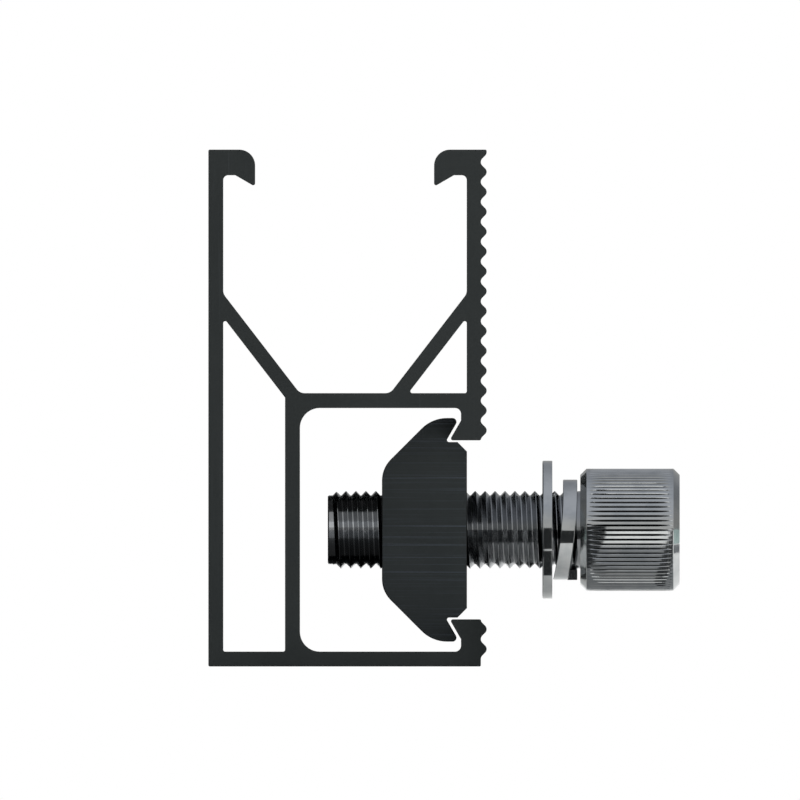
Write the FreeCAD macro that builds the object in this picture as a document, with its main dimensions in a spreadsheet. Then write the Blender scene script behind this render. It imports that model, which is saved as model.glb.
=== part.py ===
import FreeCAD, Part

import math
import os

import Sketcher

# A short length of solar mounting rail with its channel nut, cap screw and washers.
#
# Frame: millimetres, +Z up, +Y along the rail, +X out of the toothed face, where the
# screw's head is. The origin is the centre of the rail's underside.

# The driving sizes, as alias, value and meaning: millimetres, degrees or a plain count.
SIZES = (
    ("rail_length", 50, "length of this cut of rail"),
    ("rail_height", 52, "height of the rail's section"),
    ("rail_width", 28, "width of the section, over the tooth crests"),
    ("wall", 1.5, "plain side wall, base, inner web and floor"),
    ("toothed_wall", 1.42, "toothed wall, behind the tooth valleys"),
    ("rib_wall", 1.45, "sloping ribs of the upper channel"),
    ("edge_radius", 0.15, "outer corners of the rail's section"),
    ("tooth_pitch", 2, "from one tooth of the right face to the next"),
    ("tooth_radius", 0.5, "crests and valleys of the teeth, between 45 degree flanks"),
    ("top_slot", 18, "mouth of the upper channel, between its lips"),
    ("top_lip_wall", 2.58, "thickness of the upper channel's lips"),
    ("lip_bevel", 2, "stretch of each lip that its inner bevel takes"),
    ("lip_angle", 30, "slope of that bevel, in degrees"),
    ("lip_tip_radius", 0.2, "pointed tips of all four lips"),
    ("lip_shoulder_radius", 1.6, "upper shoulders of the upper channel's mouth"),
    ("channel_radius", 0.5, "upper channel, between lip and wall"),
    ("rib_rise", 10, "height of the sloping ribs in the upper channel"),
    ("rib_angle", 52.4, "slope of those ribs, in degrees"),
    ("rib_radius", 1, "where the ribs meet the walls and the floor"),
    ("chamber_radius", 0.2, "corners of the two closed chambers"),
    ("side_channel_height", 24.5, "side channel, inside"),
    ("side_channel_depth", 16.2, "side channel, from its web to its lips"),
    ("side_slot", 18, "mouth of the side channel, between its lips"),
    ("side_lip_wall", 2, "thickness of the side channel's lips"),
    ("side_back_radius", 2, "side channel, corners at the web"),
    ("side_front_radius", 0.6, "side channel, corners at the lips"),
    ("nut_length", 20, "channel nut, along the rail"),
    ("nut_clearance", 1, "between the nut's hooks and the channel, above and below"),
    ("nut_thickness", 8.55, "channel nut, from back face to front face"),
    ("nut_back_height", 12.4, "flat of the nut's back, between its slopes"),
    ("nut_inset", 1.4, "from the tooth valleys in to the nut's front face"),
    ("neck_clearance", 0.17, "between the nut's neck and each lip"),
    ("neck_chamfer", 0.95, "front corners of the nut's neck"),
    ("hook_clearance", 0.3, "between a hook and its lip, along the screw"),
    ("hook_radius", 0.4, "tips of the nut's hooks"),
    ("groove_radius", 0.2, "between the hooks and the neck"),
    ("nut_shoulder_radius", 3.6, "where the nut's slopes meet its hooks"),
    ("nut_back_radius", 3, "where the nut's slopes meet its back"),
    ("thread_diameter", 7.8, "cap screw, over the thread"),
    ("thread_depth", 0.43, "cap screw, height of the thread"),
    ("thread_clearance", 0.05, "running clearance of the screw in the nut, each side"),
    ("screw_length", 25.4, "cap screw, under its head"),
    ("screw_lead", 0.5, "plain point of the screw, thread root across"),
    ("head_standoff", 10, "from the tooth valleys to the underside of the head"),
    ("head_diameter", 12.3, "cap screw, head"),
    ("head_height", 10, "cap screw, head"),
    ("head_chamfer", 0.62, "both ends of the head"),
    ("knurl_count", 80, "grooves round the head"),
    ("knurl_depth", 0.15, "depth of those grooves"),
    ("knurl_angle", 67, "angle between a groove's sides, in degrees"),
    ("knurl_margin", 0.7, "from each end of the head to where the grooves start"),
    ("knurl_run_out", 1.8, "stretch over which a groove comes to its full depth"),
    ("socket_flats", 6, "hexagon socket, across flats"),
    ("socket_depth", 5, "hexagon socket, flat sides"),
    ("socket_mouth", 7.2, "diameter of the bevel at the socket's mouth"),
    ("drill_angle", 30, "slope of the socket's drilled bottom, in degrees"),
    ("washer_diameter", 13.9, "flat washer, outside"),
    ("washer_thickness", 1, "flat washer"),
    ("washer_clearance", 0.3, "flat washer's hole round the thread, each side"),
    ("spring_width", 1, "spring washer, width of its section"),
    ("spring_thickness", 1.44, "spring washer, thickness of its section"),
    ("spring_rise", 1, "how far the free end of the spring washer stands off"),
    ("spring_split", 0.4, "gap between the spring washer's two ends"),
    ("spring_clearance", 0.15, "spring washer's hole round the thread, each side"),
    ("washer_play", 0.07, "between the flat washer and the spring washer's free end"),
    ("head_play", 0.3, "between the spring washer and the head"),
)

DOC = FreeCAD.newDocument("SolarRailFixing")
SHEET = DOC.addObject("Spreadsheet::Sheet", "Sizes")


# ---------------------------------------------------------------- sizes and formulas


class Size:
    """A length that keeps both its number and the sheet formula that gives it.

    The formula drives the sketches and features. The number only places new geometry
    before it is constrained, and finds the edges to round.
    """

    def __init__(self, number, formula):
        self.number = number
        self.formula = formula

    def joined(self, sign, other, number):
        return Size(number, f"({self.formula} {sign} {size_of(other).formula})")

    def __add__(self, other):
        return self.joined("+", other, self.number + size_of(other).number)

    def __sub__(self, other):
        return self.joined("-", other, self.number - size_of(other).number)

    def __mul__(self, other):
        return self.joined("*", other, self.number * size_of(other).number)

    def __truediv__(self, other):
        return self.joined("/", other, self.number / size_of(other).number)

    def __neg__(self):
        return Size(-self.number, f"(-1 * {self.formula})")


def size_of(item):
    """The item as a Size, so that a plain number can stand in a formula."""
    if isinstance(item, Size):
        return item
    return Size(float(item), f"({float(item)})")


def tangent(angle):
    return Size(math.tan(math.radians(angle.number)), f"tan({angle.formula} * 1 deg)")


def cosine(angle):
    return Size(math.cos(math.radians(angle.number)), f"cos({angle.formula} * 1 deg)")


def root(size):
    return Size(math.sqrt(size.number), f"sqrt({size.formula})")


def whole(size):
    return Size(math.floor(size.number), f"floor({size.formula})")


def smaller(first, second):
    number = min(first.number, second.number)
    return Size(number, f"min({first.formula}; {second.formula})")


def fill_sheet():
    """Write the driving sizes into the sheet and return them by alias."""
    sizes = {}
    for row, (alias, value, meaning) in enumerate(SIZES, start=1):
        SHEET.set(f"A{row}", meaning)
        SHEET.set(f"B{row}", str(value))
        SHEET.setAlias(f"B{row}", alias)
        sizes[alias] = Size(float(value), f"Sizes.{alias}")
    DOC.recompute()
    return sizes


S = fill_sheet()
ZERO = size_of(0)


# ---------------------------------------------------------------- sketches and features


def new_body(label, x=ZERO, z=ZERO):
    """A body for one piece, set down at x, z in the part's frame."""
    body = DOC.addObject("PartDesign::Body", label)
    body.Label = label
    body.Placement = FreeCAD.Placement(
        FreeCAD.Vector(x.number, 0, z.number), FreeCAD.Rotation()
    )
    body.setExpression("Placement.Base.x", x.formula)
    body.setExpression("Placement.Base.z", z.formula)
    return body


def origin_feature(body, role):
    """One of the body's own origin planes or axes."""
    return next(item for item in body.Origin.OriginFeatures if item.Role == role)


def new_sketch(body, name, plane, offset=ZERO):
    """An empty sketch on one of the body's origin planes, moved along its normal."""
    sketch = body.newObject("Sketcher::SketchObject", name)
    sketch.AttachmentSupport = [(origin_feature(body, plane), "")]
    sketch.MapMode = "FlatFace"
    if offset is not ZERO:
        sketch.setExpression("AttachmentOffset.Base.z", offset.formula)
    return sketch


def hold(sketch, kind, where, size):
    """Add one driving constraint and bind it to its formula."""
    index = sketch.addConstraint(Sketcher.Constraint(kind, *where, size.number))
    sketch.setExpression(f"Constraints[{index}]", size.formula)


def hold_point(sketch, geometry, end, x, y):
    """Hold one end of a line or arc by its two distances from the sketch's origin."""
    for kind, size, axis in (("DistanceX", x, -2), ("DistanceY", y, -1)):
        if size is ZERO:
            sketch.addConstraint(Sketcher.Constraint("PointOnObject", geometry, end, axis))
        else:
            hold(sketch, kind, (-1, 1, geometry, end), size)


def arc_between(start, stop, radius, turn):
    """The short arc from start to stop. turn is 1 to bend left on the way, -1 to the right."""
    chord = stop - start
    aside = FreeCAD.Vector(chord.y, -chord.x, 0).normalize() * turn
    bulge = radius - math.sqrt(radius**2 - (chord.Length / 2) ** 2)
    return Part.Arc(start, start + chord * 0.5 + aside * bulge, stop)


def draw_loop(sketch, corners):
    """A closed loop. A corner is (x, y), or (x, y, radius, turn) if an arc leads to it."""
    points = [FreeCAD.Vector(corner[0].number, corner[1].number, 0) for corner in corners]
    first = sketch.GeometryCount
    ends = []
    for index, corner in enumerate(corners):
        start, stop = points[index - 1], points[index]
        if len(corner) == 2:
            sketch.addGeometry(Part.LineSegment(start, stop))
            ends.append((1, 2))
        else:
            radius, turn = corner[2:]
            sketch.addGeometry(arc_between(start, stop, radius.number, turn))
            ends.append((1, 2) if turn > 0 else (2, 1))
    for index, corner in enumerate(corners):
        here = first + index
        after = (index + 1) % len(corners)
        stop, start = ends[index][1], ends[after][0]
        sketch.addConstraint(
            Sketcher.Constraint("Coincident", here, stop, first + after, start)
        )
        hold_point(sketch, here, stop, corner[0], corner[1])
        if len(corner) > 2:
            hold(sketch, "Radius", (here,), corner[2])


def draw_circle(sketch, radius):
    """A circle round the sketch's origin."""
    centre, normal = FreeCAD.Vector(0, 0, 0), FreeCAD.Vector(0, 0, 1)
    index = sketch.addGeometry(Part.Circle(centre, normal, radius.number))
    sketch.addConstraint(Sketcher.Constraint("Coincident", index, 3, -1, 1))
    hold(sketch, "Radius", (index,), radius)


def pad(body, sketch, length, both_ways=False, reverse=False):
    """Grow the sketch along its normal by length."""
    feature = body.newObject("PartDesign::Pad", f"{sketch.Name}_pad")
    feature.Profile = sketch
    feature.SideType = "Symmetric" if both_ways else "One side"
    feature.Reversed = reverse
    feature.setExpression("Length", length.formula)
    return feature


def pocket(body, sketch, length=None, both_ways=False, reverse=False):
    """Cut the sketch against its normal, by length or right through.

    The material has to shrink: a cut that points away from the solid raises an error.
    """
    DOC.recompute()
    before = body.Tip.Shape.Volume
    feature = body.newObject("PartDesign::Pocket", f"{sketch.Name}_cut")
    feature.Profile = sketch
    feature.SideType = "Symmetric" if both_ways else "One side"
    feature.Reversed = reverse
    if length is None:
        feature.Type = "ThroughAll"
    else:
        feature.setExpression("Length", length.formula)
    DOC.recompute()
    if feature.Shape.Volume >= before:
        raise RuntimeError(f"{feature.Name} cuts nothing")
    return feature


def turn_profile(body, kind, name, corners):
    """Revolve a profile drawn in the XZ plane about the body's X axis."""
    sketch = new_sketch(body, name, "XZ_Plane")
    draw_loop(sketch, corners)
    feature = body.newObject(f"PartDesign::{kind}", f"{name}_turned")
    feature.Profile = sketch
    feature.ReferenceAxis = (sketch, ["H_Axis"])
    DOC.recompute()
    return feature


def lies_at(edge, x, z):
    """True if the edge runs straight along Y through x, z."""
    near = 1e-3
    ends = [vertex.Point for vertex in edge.Vertexes]
    return (
        len(ends) == 2
        and abs(ends[0].y - ends[1].y) > near
        and all(abs(end.x - x) < near and abs(end.z - z) < near for end in ends)
    )


def round_edges(body, name, radius, corners):
    """Round the edges along Y that stand on the given corners of the section."""
    DOC.recompute()
    base = body.Tip
    picked = [
        f"Edge{index}"
        for index, edge in enumerate(base.Shape.Edges, start=1)
        if any(lies_at(edge, x.number, z.number) for x, z in corners)
    ]
    if len(picked) < len(corners):
        raise RuntimeError(f"{name}: {len(picked)} of {len(corners)} edges found")
    feature = body.newObject("PartDesign::Fillet", name)
    feature.Base = (base, picked)
    feature.setExpression("Radius", radius.formula)
    return feature


def mirrored(corners):
    """The corners on the other side of the sketch's X axis, in reverse order."""
    return [(x, -z) for x, z in reversed(corners)]


# ---------------------------------------------------------------- shared places

# A tooth: arcs of one radius at crest and valley, joined by flanks at 45 degrees. Each
# half arc takes this much of the height and of the depth.
HALF_PITCH = S["tooth_pitch"] / 2
ARC_ALONG = S["tooth_radius"] * math.sin(math.radians(45))
ARC_ACROSS = S["tooth_radius"] - ARC_ALONG
TOOTH_DEPTH = HALF_PITCH - ARC_ALONG * 2 + ARC_ACROSS * 2

# Left and right faces of the rail.
LEFT = -S["rail_width"] / 2
CREST = S["rail_width"] / 2
VALLEY = CREST - TOOTH_DEPTH

# Inner faces of the side walls, and the web and lips of the side channel.
INNER_LEFT = LEFT + S["wall"]
INNER_RIGHT = VALLEY - S["toothed_wall"]
SIDE_FRONT = VALLEY - S["side_lip_wall"]
SIDE_BACK = SIDE_FRONT - S["side_channel_depth"]
WEB_LEFT = SIDE_BACK - S["wall"]

# Levels: side channel, floor of the upper channel, screw axis.
SIDE_TOP = S["wall"] + S["side_channel_height"]
FLOOR_TOP = SIDE_TOP + S["wall"]
AXIS_Z = S["wall"] + S["side_channel_height"] / 2
MOUTH_LOW = AXIS_Z - S["side_slot"] / 2
MOUTH_HIGH = AXIS_Z + S["side_slot"] / 2
LIP_POINT = S["lip_bevel"] * tangent(S["lip_angle"])

# How far cutting profiles reach past the face that they open. The stock of the toothed
# face stands out by half of it, so every tooth is cut from solid metal.
PAST = HALF_PITCH
STOCK = PAST / 2

THREAD_RADIUS = S["thread_diameter"] / 2
HEAD_X = VALLEY + S["head_standoff"]


# ---------------------------------------------------------------- mounting rail


def upper_flank(crest_z):
    """From the waste to a crest, round it, and down the flank to the valley's arc."""
    return [
        (CREST + PAST, crest_z),
        (CREST, crest_z),
        (CREST - ARC_ACROSS, crest_z - ARC_ALONG, S["tooth_radius"], -1),
        (VALLEY + ARC_ACROSS, crest_z - HALF_PITCH + ARC_ALONG),
    ]


def lower_flank(crest_z):
    """Round the valley above a crest, down the flank to that crest, and out again."""
    return [
        (VALLEY + ARC_ACROSS, crest_z + HALF_PITCH - ARC_ALONG, S["tooth_radius"], 1),
        (CREST - ARC_ACROSS, crest_z + ARC_ALONG),
        (CREST, crest_z, S["tooth_radius"], -1),
        (CREST + PAST, crest_z),
    ]


def cut_tooth_row(rail, name, crest_z, gaps):
    """Cut the gap below the given crest, and as many as wanted in all below it."""
    sketch = new_sketch(rail, f"{name}_tooth_gap", "XZ_Plane")
    draw_loop(sketch, upper_flank(crest_z) + lower_flank(crest_z - S["tooth_pitch"]))
    first = pocket(rail, sketch, both_ways=True)
    pattern = rail.newObject("PartDesign::LinearPattern", f"{name}_tooth_row")
    pattern.Originals = [first]
    pattern.Direction = (sketch, ["V_Axis"])
    pattern.Reversed = True
    pattern.Mode = "Spacing"
    pattern.setExpression("Offset", S["tooth_pitch"].formula)
    pattern.setExpression("Occurrences", gaps.formula)
    rail.Tip = pattern


def cut_teeth(rail):
    """Cut the teeth of the right face into the stock, in a row on each side of the mouth.

    Each row starts from a valley at the edge of the side channel's mouth, and has as
    many whole teeth as leave a straight stretch for the rail's outer corner. The stock
    between the rows goes with the mouth.
    """
    outside = CREST + PAST
    to_top = S["rail_height"] - MOUTH_HIGH - HALF_PITCH - S["edge_radius"]
    to_foot = MOUTH_LOW - S["tooth_pitch"] - S["edge_radius"]
    above_mouth = whole(to_top / S["tooth_pitch"])
    below_mouth = whole(to_foot / S["tooth_pitch"])
    top_crest = MOUTH_HIGH + HALF_PITCH + above_mouth * S["tooth_pitch"]
    last_crest = MOUTH_LOW - HALF_PITCH - below_mouth * S["tooth_pitch"]
    cut_tooth_row(rail, "upper", top_crest, above_mouth + 1)
    cut_tooth_row(rail, "lower", MOUTH_LOW + HALF_PITCH, below_mouth + 1)

    # Above the first crest and below the last one the face runs straight.
    ends = new_sketch(rail, "tooth_ends", "XZ_Plane")
    above = S["rail_height"] + PAST
    below = -S["tooth_pitch"]
    draw_loop(
        ends,
        [(CREST, top_crest), (outside, top_crest), (outside, above), (CREST, above)],
    )
    foot = [(VALLEY, last_crest - HALF_PITCH, S["tooth_radius"], 1)]
    foot += [(VALLEY, below), (outside, below)]
    draw_loop(ends, upper_flank(last_crest) + foot)
    pocket(rail, ends, both_ways=True)


def cut_upper_channel(rail):
    """The open channel on top, with its bevelled lips and its floor between two ribs."""
    middle = (LEFT + VALLEY) / 2
    mouth_left = middle - S["top_slot"] / 2
    mouth_right = middle + S["top_slot"] / 2
    under_lip = S["rail_height"] - S["top_lip_wall"]
    lip_tip = under_lip - LIP_POINT
    above = S["rail_height"] + PAST
    rib_top = FLOOR_TOP + S["rib_rise"]
    rib_run = S["rib_rise"] / tangent(S["rib_angle"])
    floor_left = INNER_LEFT + rib_run
    floor_right = INNER_RIGHT - rib_run

    sketch = new_sketch(rail, "upper_channel", "XZ_Plane")
    draw_loop(
        sketch,
        [
            (mouth_left, above),
            (mouth_left, lip_tip),
            (mouth_left - S["lip_bevel"], under_lip),
            (INNER_LEFT, under_lip),
            (INNER_LEFT, rib_top),
            (floor_left, FLOOR_TOP),
            (floor_right, FLOOR_TOP),
            (INNER_RIGHT, rib_top),
            (INNER_RIGHT, under_lip),
            (mouth_right + S["lip_bevel"], under_lip),
            (mouth_right, lip_tip),
            (mouth_right, above),
        ],
    )
    pocket(rail, sketch, both_ways=True)
    ribs = [(INNER_LEFT, rib_top), (floor_left, FLOOR_TOP)]
    ribs += [(floor_right, FLOOR_TOP), (INNER_RIGHT, rib_top)]
    round_edges(rail, "rib_rounds", S["rib_radius"], ribs)
    under_lips = [(INNER_LEFT, under_lip), (INNER_RIGHT, under_lip)]
    round_edges(rail, "channel_rounds", S["channel_radius"], under_lips)
    tips = [(mouth_left, lip_tip), (mouth_right, lip_tip)]
    round_edges(rail, "upper_lip_tips", S["lip_tip_radius"], tips)
    shoulders = [(mouth_left, S["rail_height"]), (mouth_right, S["rail_height"])]
    round_edges(rail, "mouth_shoulders", S["lip_shoulder_radius"], shoulders)


def cut_chambers(rail):
    """The two closed chambers beside and below the ribs."""
    slope = tangent(S["rib_angle"])
    rib_drop = S["rib_wall"] / cosine(S["rib_angle"])
    under_rib = FLOOR_TOP + S["rib_rise"] - rib_drop
    web_corner = under_rib - (WEB_LEFT - INNER_LEFT) * slope
    long_chamber = [
        (INNER_LEFT, S["wall"]),
        (WEB_LEFT, S["wall"]),
        (WEB_LEFT, web_corner),
        (INNER_LEFT, under_rib),
    ]
    rib_foot = INNER_RIGHT - (under_rib - FLOOR_TOP) / slope
    small_chamber = [
        (rib_foot, FLOOR_TOP),
        (INNER_RIGHT, FLOOR_TOP),
        (INNER_RIGHT, under_rib),
    ]
    sketch = new_sketch(rail, "chambers", "XZ_Plane")
    draw_loop(sketch, long_chamber)
    draw_loop(sketch, small_chamber)
    pocket(rail, sketch, both_ways=True)
    corners = long_chamber + small_chamber
    round_edges(rail, "chamber_rounds", S["chamber_radius"], corners)


def cut_side_channel(rail):
    """The channel in the toothed face, with bevelled lips for the nut's hooks."""
    lip_tip = SIDE_FRONT - LIP_POINT
    outside = CREST + PAST

    sketch = new_sketch(rail, "side_channel", "XZ_Plane")
    draw_loop(
        sketch,
        [
            (outside, MOUTH_HIGH),
            (lip_tip, MOUTH_HIGH),
            (SIDE_FRONT, MOUTH_HIGH + S["lip_bevel"]),
            (SIDE_FRONT, SIDE_TOP),
            (SIDE_BACK, SIDE_TOP),
            (SIDE_BACK, S["wall"]),
            (SIDE_FRONT, S["wall"]),
            (SIDE_FRONT, MOUTH_LOW - S["lip_bevel"]),
            (lip_tip, MOUTH_LOW),
            (outside, MOUTH_LOW),
        ],
    )
    pocket(rail, sketch, both_ways=True)
    backs = [(SIDE_BACK, SIDE_TOP), (SIDE_BACK, S["wall"])]
    round_edges(rail, "side_back_rounds", S["side_back_radius"], backs)
    # The lip's bevel leaves little flat in a low channel, and the rounds stay inside it.
    flat = S["side_channel_height"] / 2 - S["side_slot"] / 2 - S["lip_bevel"]
    front_radius = smaller(S["side_front_radius"], flat * 0.8)
    fronts = [(SIDE_FRONT, SIDE_TOP), (SIDE_FRONT, S["wall"])]
    round_edges(rail, "side_front_rounds", front_radius, fronts)
    tips = [(lip_tip, MOUTH_LOW), (lip_tip, MOUTH_HIGH)]
    round_edges(rail, "side_lip_tips", S["lip_tip_radius"], tips)
    outer = [(VALLEY, MOUTH_LOW), (VALLEY, MOUTH_HIGH)]
    round_edges(rail, "side_lip_rounds", S["edge_radius"], outer)


def make_mounting_rail():
    """The extruded rail: a toothed block, then its channels and chambers."""
    rail = new_body("mounting_rail")
    section = new_sketch(rail, "stock_section", "XZ_Plane")
    stock_right = CREST + STOCK
    draw_loop(
        section,
        [
            (LEFT, ZERO),
            (stock_right, ZERO),
            (stock_right, S["rail_height"]),
            (LEFT, S["rail_height"]),
        ],
    )
    pad(rail, section, S["rail_length"], both_ways=True)
    cut_teeth(rail)
    corners = [(LEFT, ZERO), (LEFT, S["rail_height"])]
    corners += [(CREST, S["rail_height"]), (VALLEY, ZERO)]
    round_edges(rail, "outer_rounds", S["edge_radius"], corners)
    cut_upper_channel(rail)
    cut_chambers(rail)
    cut_side_channel(rail)
    return rail


# ---------------------------------------------------------------- channel nut


def make_channel_nut():
    """The extruded nut. Its hooks catch behind the side channel's lips.

    Its own frame has the screw axis as X, with the front face at 0.
    """
    front_x = VALLEY - S["nut_inset"]
    nut = new_body("channel_nut", front_x, AXIS_Z)
    slope = tangent(S["lip_angle"])
    half = S["side_channel_height"] / 2 - S["nut_clearance"]
    neck = S["side_slot"] / 2 - S["neck_clearance"]
    # A hook's bevel follows the lip's, set back by the clearance.
    lip_tip = SIDE_FRONT - LIP_POINT - front_x
    bevel_start = lip_tip - S["hook_clearance"]
    groove = (bevel_start - (S["side_slot"] / 2 - neck) * slope, neck)
    hook = (bevel_start + (half - S["side_slot"] / 2) * slope, half)
    back = -S["nut_thickness"]
    back_half = S["nut_back_height"] / 2
    # The slopes run at 45 degrees, so they rise by as much as they go forward.
    shoulder = (back + (half - back_half), half)
    slope_foot = (back, back_half)
    upper = [(ZERO, neck - S["neck_chamfer"]), (-S["neck_chamfer"], neck)]
    upper += [groove, hook, shoulder, slope_foot]

    section = new_sketch(nut, "nut_section", "XZ_Plane")
    draw_loop(section, upper + mirrored(upper))
    pad(nut, section, S["nut_length"], both_ways=True)
    for name, radius, corner in (
        ("nut_back_rounds", "nut_back_radius", slope_foot),
        ("nut_shoulder_rounds", "nut_shoulder_radius", shoulder),
        ("hook_rounds", "hook_radius", hook),
        ("groove_rounds", "groove_radius", groove),
    ):
        round_edges(nut, name, S[radius], [corner] + mirrored([corner]))

    bore = new_sketch(nut, "nut_bore", "YZ_Plane")
    draw_circle(bore, THREAD_RADIUS + S["thread_clearance"])
    pocket(nut, bore, both_ways=True)
    return nut


# ---------------------------------------------------------------- cap screw


def hexagon(flats):
    """The six corners of a hexagon whose upper and lower flats lie level."""
    half_flats = flats / 2
    corner = flats / math.sqrt(3)
    upper = [(corner / 2, half_flats), (-corner / 2, half_flats)]
    return [(corner, ZERO)] + upper + [(-corner, ZERO)] + mirrored(upper)


def knurl_section(screw, name, place, depth):
    """A groove's section at one place along the head, open just past its surface."""
    radius = S["head_diameter"] / 2
    past = S["knurl_depth"] * 0.2
    half_mouth = (depth + past) * tangent(S["knurl_angle"] / 2)
    above = radius + past
    sketch = new_sketch(screw, name, "YZ_Plane", place)
    draw_loop(sketch, [(ZERO, radius - depth), (half_mouth, above), (-half_mouth, above)])
    return sketch


def knurl_head(screw):
    """Cut the grooves round the head. Each runs out to nothing at both of its ends."""
    start = S["knurl_margin"]
    end = S["head_height"] - start
    run_out = S["knurl_run_out"]
    # At both ends the groove's bottom has risen just clear of the surface.
    lifted = -S["knurl_depth"] * 0.1
    sections = [
        knurl_section(screw, "knurl_start", start, lifted),
        knurl_section(screw, "knurl_full_start", start + run_out, S["knurl_depth"]),
        knurl_section(screw, "knurl_full_end", end - run_out, S["knurl_depth"]),
        knurl_section(screw, "knurl_end", end, lifted),
    ]
    groove = screw.newObject("PartDesign::SubtractiveLoft", "knurl_groove")
    groove.Profile = sections[0]
    groove.Sections = sections[1:]
    groove.Ruled = True
    DOC.recompute()
    pattern = screw.newObject("PartDesign::PolarPattern", "knurl")
    pattern.Originals = [groove]
    pattern.Axis = (origin_feature(screw, "X_Axis"), [""])
    pattern.setExpression("Occurrences", S["knurl_count"].formula)
    screw.Tip = pattern


def cut_socket(screw):
    """The hexagon socket, its bevelled mouth and its drilled bottom."""
    top = S["head_height"]
    sketch = new_sketch(screw, "socket", "YZ_Plane", top)
    draw_loop(sketch, hexagon(S["socket_flats"]))
    pocket(screw, sketch, S["socket_depth"])
    half = S["socket_flats"] / 2
    mouth = S["socket_mouth"] / 2
    bevel = mouth - half
    turn_profile(
        screw,
        "Groove",
        "socket_bevel",
        [(top, ZERO), (top, mouth), (top - bevel, half), (top - bevel, ZERO)],
    )
    bottom = top - S["socket_depth"]
    point = half * tangent(S["drill_angle"])
    turn_profile(
        screw,
        "Groove",
        "socket_point",
        [(bottom, ZERO), (bottom, half), (bottom - point, ZERO)],
    )


def make_cap_screw():
    """The knurled cap screw. Its shank is plain here, at the thread's outer diameter.

    Its own frame has the screw axis as X, with the underside of the head at 0.
    """
    screw = new_body("cap_screw", HEAD_X, AXIS_Z)
    head = S["head_diameter"] / 2
    chamfer = S["head_chamfer"]
    thread_root = THREAD_RADIUS - S["thread_depth"]
    tip = -S["screw_length"]
    lead = tip + S["screw_lead"]
    turn_profile(
        screw,
        "Revolution",
        "screw_profile",
        [
            (tip, ZERO),
            (S["head_height"], ZERO),
            (S["head_height"], head - chamfer),
            (S["head_height"] - chamfer, head),
            (chamfer, head),
            (ZERO, head - chamfer),
            (ZERO, THREAD_RADIUS),
            (lead + S["thread_depth"], THREAD_RADIUS),
            (lead, thread_root),
            (tip, thread_root),
        ],
    )
    knurl_head(screw)
    cut_socket(screw)
    return screw


# ---------------------------------------------------------------- washers

SPRING_BACK = HEAD_X - S["head_play"]
SPRING_FREE_HEIGHT = S["spring_thickness"] + S["spring_rise"]
WASHER_FRONT = SPRING_BACK - SPRING_FREE_HEIGHT - S["washer_play"]


def make_flat_washer():
    """The flat washer. Its own frame has the face towards the head at 0."""
    washer = new_body("flat_washer", WASHER_FRONT, AXIS_Z)
    ring = new_sketch(washer, "washer_ring", "YZ_Plane")
    draw_circle(ring, S["washer_diameter"] / 2)
    draw_circle(ring, THREAD_RADIUS + S["washer_clearance"])
    pad(washer, ring, S["washer_thickness"], reverse=True)
    return washer


def make_spring_washer():
    """The split washer, flat on its far side and sprung forward on its near side.

    Its own frame has the face towards the head at 0. A tall ring is padded first. The
    near half (Y < 0) is then cut to a curved band and the far half to a straight one.
    """
    washer = new_body("spring_washer", SPRING_BACK, AXIS_Z)
    inner = THREAD_RADIUS + S["spring_clearance"]
    outer = inner + S["spring_width"]
    thick = S["spring_thickness"]
    rise = S["spring_rise"]
    ring = new_sketch(washer, "spring_ring", "YZ_Plane")
    draw_circle(ring, outer)
    draw_circle(ring, inner)
    pad(washer, ring, SPRING_FREE_HEIGHT, reverse=True)

    # Both faces of the band bend about one centre, straight from the top of the hole.
    span = inner + outer
    bend = (span * span + rise * rise) / (rise * 2)
    back_bend = bend + thick
    back_foot = root(back_bend * back_bend - span * span) - back_bend
    above, below = outer + PAST, -(outer + PAST)
    front_waste = [
        (-thick, inner),
        (-SPRING_FREE_HEIGHT, -outer, bend, -1),
        (-SPRING_FREE_HEIGHT, below),
        (-SPRING_FREE_HEIGHT - PAST, below),
        (-SPRING_FREE_HEIGHT - PAST, above),
        (-thick, above),
    ]
    back_waste = [
        (ZERO, inner),
        (back_foot, -outer, back_bend, -1),
        (back_foot, below),
        (PAST, below),
        (PAST, above),
        (ZERO, above),
    ]
    near = new_sketch(washer, "near_waste", "XZ_Plane")
    draw_loop(near, front_waste)
    draw_loop(near, back_waste)
    pocket(washer, near, reverse=True)
    far = new_sketch(washer, "far_waste", "XZ_Plane")
    far_edge = -SPRING_FREE_HEIGHT - PAST
    draw_loop(far, [(far_edge, below), (-thick, below), (-thick, above), (far_edge, above)])
    pocket(washer, far)
    split = new_sketch(washer, "split", "YZ_Plane")
    half_gap = S["spring_split"] / 2
    draw_loop(
        split,
        [(-half_gap, below), (half_gap, below), (half_gap, ZERO), (-half_gap, ZERO)],
    )
    pocket(washer, split, both_ways=True)
    return washer


# ---------------------------------------------------------------- build and export


def check_document():
    """Stop if any object of the document failed, or any piece is not one good solid."""
    for item in DOC.Objects:
        if "Invalid" in item.State or "Error" in item.State:
            raise RuntimeError(f"{item.Name} failed: {item.State}")
    for body in DOC.findObjects("PartDesign::Body"):
        shape = body.Shape
        if shape.isNull() or not shape.isValid() or len(shape.Solids) != 1:
            raise RuntimeError(f"{body.Label} is not one valid solid")


def export_parts(bodies):
    """Write each piece to a STEP file of its own name."""
    os.makedirs("parts", exist_ok=True)
    for body in bodies:
        body.Shape.exportStep(f"parts/{body.Label}.step")
        box = body.Shape.BoundBox
        print(
            f"{body.Label}: {body.Shape.Volume:.1f} mm3,"
            f" X {box.XMin:.2f} to {box.XMax:.2f},"
            f" Y {box.YMin:.2f} to {box.YMax:.2f},"
            f" Z {box.ZMin:.2f} to {box.ZMax:.2f}"
        )


def main():
    bodies = [
        make_mounting_rail(),
        make_channel_nut(),
        make_cap_screw(),
        make_flat_washer(),
        make_spring_washer(),
    ]
    DOC.recompute()
    check_document()
    export_parts(bodies)


main()
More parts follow.
